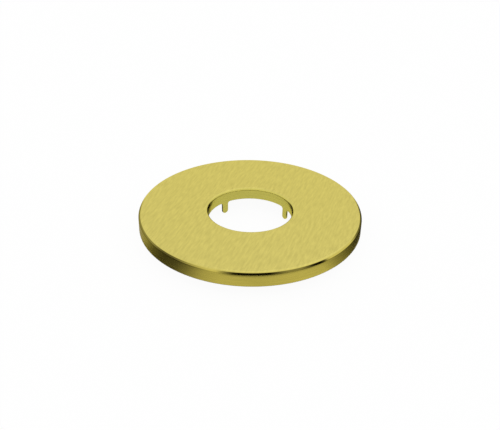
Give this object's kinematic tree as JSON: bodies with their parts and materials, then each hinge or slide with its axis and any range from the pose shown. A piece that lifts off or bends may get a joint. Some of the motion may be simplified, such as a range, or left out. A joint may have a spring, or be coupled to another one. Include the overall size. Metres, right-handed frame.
{
  "type": "pipe escutcheon",
  "caption": "Low round cover plate of pressed brass with a skirt, a central pipe hole with a turned-down collar, and straight tabs that grip the pipe behind it.",
  "frame": {"origin": "on the pipe's axis, in the plane of the tab tips that the plate stands on", "axes": "+Z along the pipe's axis, out of the wall towards the face; X and Y run midway between the tabs"},
  "size_m": [0.0572, 0.0572, 0.0064],
  "materials": {
    "brass": "satin, with fine straight brush lines on the face"
  },
  "bodies": {
    "root": {"escutcheon": "brass"}
  },
  "joints": []
}
